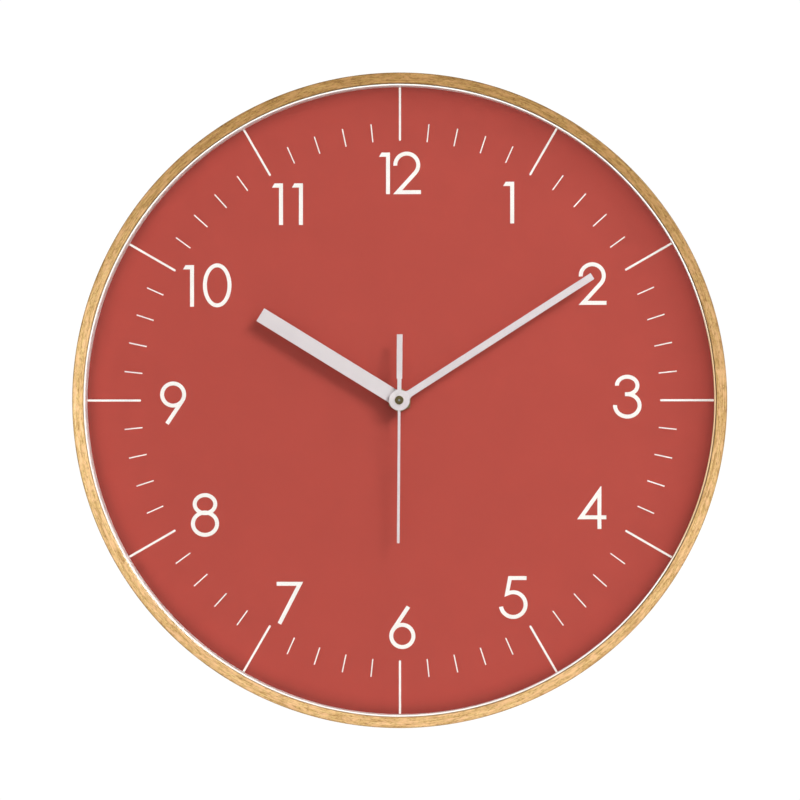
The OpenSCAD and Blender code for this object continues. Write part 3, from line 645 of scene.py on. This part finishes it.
def make_second_bush():
    """The brass tube that carries the second hand: a flange, a groove and the tube's open end."""
    front, rear = depth_of("second_bush")
    flange_r, tube_r, bore_r = radius_of("second_bush"), 1.25 * MM, 0.52 * MM
    flange, floor, step = front + 0.02 * MM, front + 0.16 * MM, front + 0.38 * MM
    line = [
        (bore_r, rear), (bore_r, front + 0.08 * MM), (bore_r + 0.1 * MM, front),
        (tube_r - 0.1 * MM, front), (tube_r - 0.05 * MM, floor), (tube_r + 0.12 * MM, floor),
        (tube_r + 0.2 * MM, flange), (flange_r - 0.12 * MM, flange), (flange_r, flange + 0.12 * MM),
        (flange_r, step), (tube_r, step), (tube_r, rear),
    ]
    bm = bmesh.new()
    lathe(bm, line, 72)
    finish_piece("second_hand_bush", bm, "second", "brass", ["second_bush"], 25)


def make_hands():
    """The three hands, and the second hand's boss and bush."""
    make_hand("hour", hour_outline)
    make_hand("minute", minute_outline)
    make_hand("second", second_outline)
    make_second_boss()
    make_second_bush()


# ---------- the movement's outside ----------

def make_cell():
    """The AA cell: a drawn can with a rolled shoulder, a nub and a dished negative end."""
    low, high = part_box("battery_cell")
    axis_y, axis_z = (low.y + high.y) / 2, (low.z + high.z) / 2
    r = (high.z - low.z) / 2
    nub_r, nub_h, roll, dish = 2.75 * MM, 1.4 * MM, 0.7 * MM, 0.25 * MM
    body_end = high.x - nub_h
    line = [(0, low.x + dish), (3.6 * MM, low.x + dish), (4.2 * MM, low.x), (r - roll, low.x)]
    for k in range(1, 6):
        a = math.radians(90 * k / 5)
        line.append((r - roll + roll * math.sin(a), low.x + roll - roll * math.cos(a)))
    for k in range(6):
        a = math.radians(90 * k / 5)
        line.append((r - roll + roll * math.cos(a), body_end - roll + roll * math.sin(a)))
    line += [(nub_r + 0.5 * MM, body_end), (nub_r, body_end + 0.25 * MM), (nub_r, high.x - 0.3 * MM),
             (nub_r - 0.3 * MM, high.x), (0, high.x)]
    bm = bmesh.new()
    turned(bm, line)
    lay_along_x(bm, axis_y, axis_z)
    finish_piece("aa_cell", bm, "battery", "cell_can", ["battery_cell"])
    make_sleeve(axis_y, axis_z)


def lay_along_x(bm, axis_y, axis_z):
    """Lays a shape that was turned about the Y axis along X instead, on the cell's axis."""
    for v in bm.verts:
        v.co = Vector((v.co.y, axis_y + v.co.x, axis_z + v.co.z))


def make_sleeve(axis_y, axis_z):
    """The shrink sleeve, drawn in round the can's two shoulders."""
    low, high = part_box("battery_sleeve")
    r_out = (high.z - low.z) / 2
    lip, bend = 0.5 * MM, 0.4 * MM
    r_in = r_out - 0.18 * MM
    lip_in, lip_out = r_in - lip * 0.4, r_out - lip * 0.6
    corners = [(r_in, low.x + lip, 0), (r_in, high.x - lip, 0), (lip_in, high.x, 0),
               (lip_out, high.x, 0), (r_out, high.x - lip, bend), (r_out, low.x + lip, bend),
               (lip_out, low.x, 0), (lip_in, low.x, 0)]
    bm = bmesh.new()
    lathe(bm, rounded(corners), 96)
    lay_along_x(bm, axis_y, axis_z)
    finish_piece("cell_sleeve", bm, "battery", "cell_wrap", ["battery_sleeve"])


def make_knob():
    """The time-setting knob: a knurled rim round a dished face, on a hollow shaft."""
    low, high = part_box("setting_knob")
    at = ((low.x + high.x) / 2, (low.z + high.z) / 2)
    r = (high.x - low.x) / 2
    ribs, rib_h, ribbed_from = 36, 0.3 * MM, r - 0.6 * MM
    bore_r, shaft_r = 0.77 * MM, 1.2 * MM
    face = high.y
    dish = face - 0.7 * MM
    back = face - 2.4 * MM

    def knurl(angle, q):
        wave = 0.5 - 0.5 * math.cos(ribs * angle)
        return q - rib_h * wave if q > ribbed_from else q

    line = [(bore_r, dish), (4.2 * MM, dish), (4.7 * MM, face - 0.1 * MM), (5.0 * MM, face),
            (r - 0.75 * MM, face), (r - 0.2 * MM, face - 0.3 * MM), (r, face - 0.55 * MM),
            (r, back + 0.3 * MM), (r - 0.3 * MM, back), (shaft_r, back),
            (shaft_r, low.y), (bore_r, low.y)]
    bm = bmesh.new()
    lathe(bm, line, ribs * 8, at, knurl)
    finish_piece("time_setting_knob", bm, "setting", "black_plastic", ["setting_knob"])
    make_knob_pointer(at, dish, face)


def make_knob_pointer(at, dish, face):
    """The ridge on the knob's dished face."""
    left, right = at[0] - 0.35 * MM, at[0] + 0.35 * MM
    inner, outer = at[1] + 1.4 * MM, at[1] + 3.8 * MM
    corners = [(left, inner, 0.2 * MM), (left, outer, 0.3 * MM),
               (right, outer, 0.3 * MM), (right, inner, 0.2 * MM)]
    bm = bmesh.new()
    plate(bm, [rounded(corners)], dish - 0.05 * MM, face - 0.2 * MM)
    finish_piece("knob_pointer", bm, "setting", "black_plastic")


def raised_mark(name, loop):
    """A mark moulded on the movement's cover, from its (x, z) outline."""
    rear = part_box("movement_cover")[1].y
    bm = bmesh.new()
    plate(bm, [loop], rear - 0.1 * MM, rear + 0.2 * MM)
    ease_edges(bm, 0.06 * MM, 1)
    finish_piece(name, bm, "clock", "black_plastic")


def make_cover_marks():
    """A plus and a minus by the cell's ends."""
    low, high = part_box("movement_cover")
    arm, half = 1.8 * MM, 0.35 * MM
    z = low.z + 3.4 * MM
    x = high.x - 6 * MM
    plus = [(x - half, z - arm), (x + half, z - arm), (x + half, z - half), (x + arm, z - half),
            (x + arm, z + half), (x + half, z + half), (x + half, z + arm), (x - half, z + arm),
            (x - half, z + half), (x - arm, z + half), (x - arm, z - half), (x - half, z - half)]
    raised_mark("plus_mark", plus)
    x = low.x + 6 * MM
    minus = [(x - arm, z - half), (x + arm, z - half), (x + arm, z + half), (x - arm, z + half)]
    raised_mark("minus_mark", minus)


def make_turn_arrow():
    """An arrow round the knob, for the way that it advances the hands."""
    low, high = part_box("setting_knob")
    at = ((low.x + high.x) / 2, (low.z + high.z) / 2)
    r, half, head = 8.2 * MM, 0.35 * MM, 1.1 * MM
    tail_angle, neck_angle, tip_angle = 20, -55, -70
    outer = circle_points(r + half, 24, neck_angle, tail_angle)
    inner = circle_points(r - half, 24, tail_angle, neck_angle)
    tip = [on_circle(r - head, neck_angle), on_circle(r, tip_angle), on_circle(r + head, neck_angle)]
    raised_mark("turn_arrow", [(at[0] + u, at[1] + v) for u, v in outer + inner + tip])


def dress_cad_nodes():
    """Gives every CAD node its slot's material."""
    for row in frame["record"]["subparts"]:
        node = frame["nodes"][row["node"]]
        node.data.materials.clear()
        node.data.materials.append(materials[row["material_slot"]])


def make_movement_outside():
    """The moulded and pressed parts that show from behind, with their edges eased."""
    softened("movement_case", "black_plastic", 0.25 * MM)
    softened("movement_cover", "black_plastic", 0.2 * MM)
    softened("hanger_bracket", "zinc_steel", 0.15 * MM)
    softened("board_clips", "zinc_steel", 0.2 * MM)
    softened("clip_screws", "brass", 0.12 * MM)
    softened("centre_nut", "brass", 0.15 * MM)
    make_cover_marks()
    make_turn_arrow()


# ---------- stage ----------

AMBIENT_SIDE = 0.69
AMBIENT_FRONT = 0.1
AMBIENT_FADE = (-1.0, -0.35)  # the direction's Y where the light is weakest, and where it is full
BACKGROUND_WHITE = 1.02
KEY_PLACE = (1.95, -2.2, 1.76)
KEY_SIZE = 1.4
KEY_POWER = 74
SCREEN_DISTANCE = 2.6
SCREEN_SIZE = 3.1
SCREEN_POWER = 43
REAR_PLACE = (-0.8, 2.6, 0.8)
REAR_SIZE = 2.2
REAR_POWER = 45
SIDE_LAMP_PLACES = {"left": (-2.4, 0.5, 0.6), "right": (2.4, 0.5, 0.6), "above": (0, 0.5, 2.5)}
SIDE_LAMP_SIZE = 1.6
SIDE_LAMP_POWER = 7


def make_floor():
    """A pale round floor well below the clock, out of the front view."""
    bm = bmesh.new()
    r, top, thick, ease = 1.15, -0.48, 0.02, 0.01
    turned(bm, [(0, 0), (r - ease, 0), (r, ease), (r, thick), (0, thick)], 128)
    bmesh.ops.rotate(bm, verts=bm.verts, matrix=Matrix.Rotation(math.radians(90), 3, "X"))
    bmesh.ops.translate(bm, verts=bm.verts, vec=(0, 0, top - thick))
    mesh = bpy.data.meshes.new("floor")
    bm.to_mesh(mesh)
    bm.free()
    mesh.materials.append(plain_material("pale_floor", (0.8, 0.8, 0.79), 0.7, 0.02, 3.0, 300.0, 0.0001))
    floor = bpy.data.objects.new("floor", mesh)
    bpy.context.scene.collection.objects.link(floor)


def make_world():
    """White for the camera, and an even light that fades to the front, which the glass mirrors."""
    world = bpy.data.worlds.new("studio")
    bpy.context.scene.world = world
    world.use_nodes = True
    tree = world.node_tree
    tree.nodes.clear()
    link = tree.links.new
    direction = tree.nodes.new("ShaderNodeTexCoord").outputs["Generated"]
    axes = tree.nodes.new("ShaderNodeSeparateXYZ")
    link(direction, axes.inputs[0])
    ramp = tree.nodes.new("ShaderNodeMapRange")
    link(axes.outputs["Y"], ramp.inputs["Value"])
    ramp.inputs["From Min"].default_value, ramp.inputs["From Max"].default_value = AMBIENT_FADE
    ramp.inputs["To Min"].default_value = AMBIENT_FRONT
    ramp.inputs["To Max"].default_value = AMBIENT_SIDE
    soft = tree.nodes.new("ShaderNodeBackground")
    link(ramp.outputs["Result"], soft.inputs["Strength"])
    white = tree.nodes.new("ShaderNodeBackground")
    white.inputs["Strength"].default_value = BACKGROUND_WHITE
    for shader in (soft, white):
        shader.inputs["Color"].default_value = (1, 1, 1, 1)
    both = tree.nodes.new("ShaderNodeMixShader")
    link(tree.nodes.new("ShaderNodeLightPath").outputs["Is Camera Ray"], both.inputs[0])
    link(soft.outputs[0], both.inputs[1])
    link(white.outputs[0], both.inputs[2])
    out = tree.nodes.new("ShaderNodeOutputWorld")
    link(both.outputs[0], out.inputs["Surface"])


def add_lamp(name, place, size, power, mirrored=True):
    """A round area lamp at place, aimed at the clock. Glass and metal don't mirror it unless mirrored.

    Its light counts through the glass as straight shadow rays only, so refracted rays pass it by.
    """
    data = bpy.data.lights.new(name, "AREA")
    data.shape = "DISK"
    data.size = size
    data.energy = power
    lamp = bpy.data.objects.new(name, data)
    lamp.location = place
    lamp.rotation_euler = (-Vector(place)).to_track_quat("-Z", "Y").to_euler()
    lamp.visible_glossy = mirrored
    lamp.visible_transmission = False
    bpy.context.scene.collection.objects.link(lamp)
    return lamp


def all_but(name, pieces):
    """A light-linking collection of every object but these pieces."""
    group = bpy.data.collections.new(name)
    for piece in pieces:
        group.objects.link(piece)
    for row in group.collection_objects:
        row.light_linking.link_state = "EXCLUDE"
    return group


def make_lights(edge_pieces, dial_liner):
    """A wide screen in front, a key, a rear lamp, and weak lamps at the left, at the right and above.

    The key's light passes through edge_pieces and falls on everything but the dial's liner.
    """
    add_lamp("screen", (0, -SCREEN_DISTANCE, 0), SCREEN_SIZE, SCREEN_POWER, mirrored=False)
    key = add_lamp("key", KEY_PLACE, KEY_SIZE, KEY_POWER)
    key.light_linking.blocker_collection = all_but("key_is_blocked_by", edge_pieces)
    key.light_linking.receiver_collection = all_but("key_lights", [dial_liner])
    add_lamp("rear", REAR_PLACE, REAR_SIZE, REAR_POWER, mirrored=False)
    for name, place in SIDE_LAMP_PLACES.items():
        add_lamp(name, place, SIDE_LAMP_SIZE, SIDE_LAMP_POWER, mirrored=False)


def make_camera():
    """A long lens a little to the right of the clock and a little below its centre."""
    azimuth, elevation = math.radians(2.5), math.radians(-0.75)
    shown_width, aim_shift = 372 * MM, 0.6 * MM
    front, _ = depth_of("wood_frame")
    distance = 2.4 + front
    data = bpy.data.cameras.new("camera")
    data.lens = data.sensor_width * distance / shown_width
    camera = bpy.data.objects.new("camera", data)
    back = Vector((math.sin(azimuth) * math.cos(elevation), -math.cos(azimuth) * math.cos(elevation),
                   math.sin(elevation)))
    camera.location = Vector((aim_shift, front, 0)) + back * distance
    camera.rotation_euler = (-back).to_track_quat("-Z", "Y").to_euler()
    bpy.context.scene.collection.objects.link(camera)
    bpy.context.scene.camera = camera


# ---------- the whole scene ----------

bpy.context.scene.view_settings.view_transform = "Standard"
make_camera()
make_world()
make_floor()
dress_cad_nodes()
dial_liner = make_liner("spacer_ring", "dial_liner")
edge_pieces = [make_rim(), make_liner("front_ring", "front_liner"), dial_liner, make_glass()]
make_hands()
make_cell()
make_knob()
make_movement_outside()
make_lights(edge_pieces, dial_liner)
